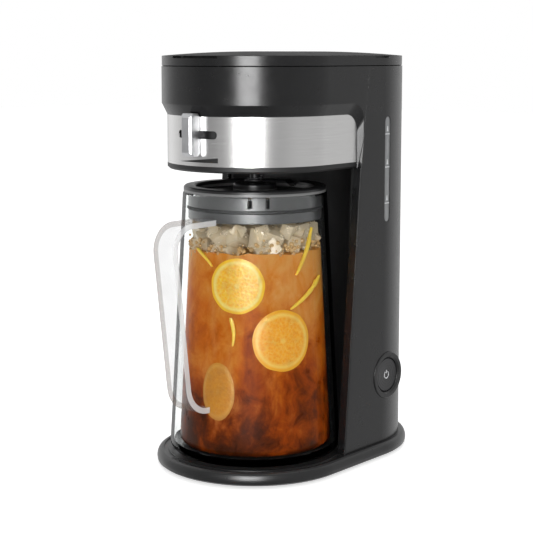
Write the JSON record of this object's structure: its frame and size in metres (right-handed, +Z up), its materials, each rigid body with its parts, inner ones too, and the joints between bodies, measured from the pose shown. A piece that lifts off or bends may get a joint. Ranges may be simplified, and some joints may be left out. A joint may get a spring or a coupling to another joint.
{
  "type": "iced tea maker",
  "caption": "Iced tea maker with a rounded tower and brew head over a clear lidded jug, steel band with a strength slider, side power button and level window, hinged top lid.",
  "frame": {"origin": "centre of the overall footprint, on the surface that the feet stand on", "axes": "+X to the right side that carries the power button, -Y to the front where the strength knob and the jug handle are, +Z up"},
  "size_m": [0.167, 0.2714, 0.3466],
  "materials": {
    "shell": "satin dark grey moulded plastic",
    "base_plastic": "satin near-black moulded plastic",
    "inner_black": "matte black moulded plastic",
    "crown_black": "gloss black",
    "foot_rubber": "matte",
    "steel": "brushed along its length",
    "knob_chrome": "satin chrome",
    "screw_steel": "plain",
    "tank_plastic": "translucent white",
    "window_clear": "frosted clear",
    "heater_alloy": "cast",
    "silicone": "milky",
    "filter_mesh": "fine gold-tone mesh",
    "board_green": "circuit board",
    "clear_wall": "clear, thick walled",
    "collar_grey": "smoky grey, semi-translucent",
    "lid_black": "satin black",
    "seal_grey": "soft"
  },
  "bodies": {
    "machine": {"plinth": "base_plastic", "plinth_cover": "inner_black", "rubber_feet": "foot_rubber", "cover_screws": "screw_steel", "tower_shell": "shell", "recess_panel": "inner_black", "head_shell": "shell", "brew_chamber": "inner_black", "steel_band": "steel", "top_deck": "inner_black", "water_tank": "tank_plastic", "level_window": "window_clear", "heater_tube": "heater_alloy", "heater_plate": "heater_alloy", "thermostat": "inner_black", "inlet_hose": "silicone", "check_valve": "tank_plastic", "riser_tube": "silicone", "spray_spout": "inner_black", "brew_basket": "inner_black", "mesh_filter": "filter_mesh", "valve_spring": "screw_steel", "hinge_pins": "screw_steel", "button_ring": "base_plastic", "switch_board": "board_green", "cord_gland": "foot_rubber"},
    "lid": {"lid_rim": "shell", "lid_crown": "crown_black", "lid_seal": "seal_grey"},
    "strength_slider": {"strength_knob": "knob_chrome", "strength_shutter": "inner_black"},
    "button": {"power_button": "shell"},
    "valve": {"drip_valve": "screw_steel", "valve_washer": "silicone"},
    "jug_body": {"jug": "clear_wall", "jug_handle": "clear_wall"},
    "jug_top": {"jug_lid": "lid_black", "lid_collar": "collar_grey", "pour_cap": "lid_black", "jug_seal": "seal_grey"}
  },
  "joints": [
    {"name": "lid_hinge", "type": "hinge", "parent": "machine", "child": "lid", "pos_m": [0, 0.11325, 0.3396], "axis": [-1, 0, 0], "range_deg": [0, 95]},
    {"name": "strength_turn", "type": "hinge", "parent": "machine", "child": "strength_slider", "pos_m": [0, -0.02625, 0.281], "axis": [0, 0, 1], "range_deg": [-12, 12]},
    {"name": "power_press", "type": "slide", "parent": "machine", "child": "button", "axis": [-1, 0, 0], "range_m": [0, 0.0018], "stiffness_N_per_m": 500},
    {"name": "valve_lift", "type": "slide", "parent": "machine", "child": "valve", "axis": [0, 0, 1], "range_m": [0, 0.003], "stiffness_N_per_m": 120, "deforming": ["valve_spring"]},
    {"name": "jug_slide", "type": "slide", "parent": "machine", "child": "jug_body", "axis": [0, -1, 0], "range_m": [0, 0.26]},
    {"name": "jug_lid_turn", "type": "hinge", "parent": "jug_body", "child": "jug_top", "pos_m": [0, -0.02625, 0.2312], "axis": [0, 0, 1], "range_deg": [-90, 90]}
  ]
}
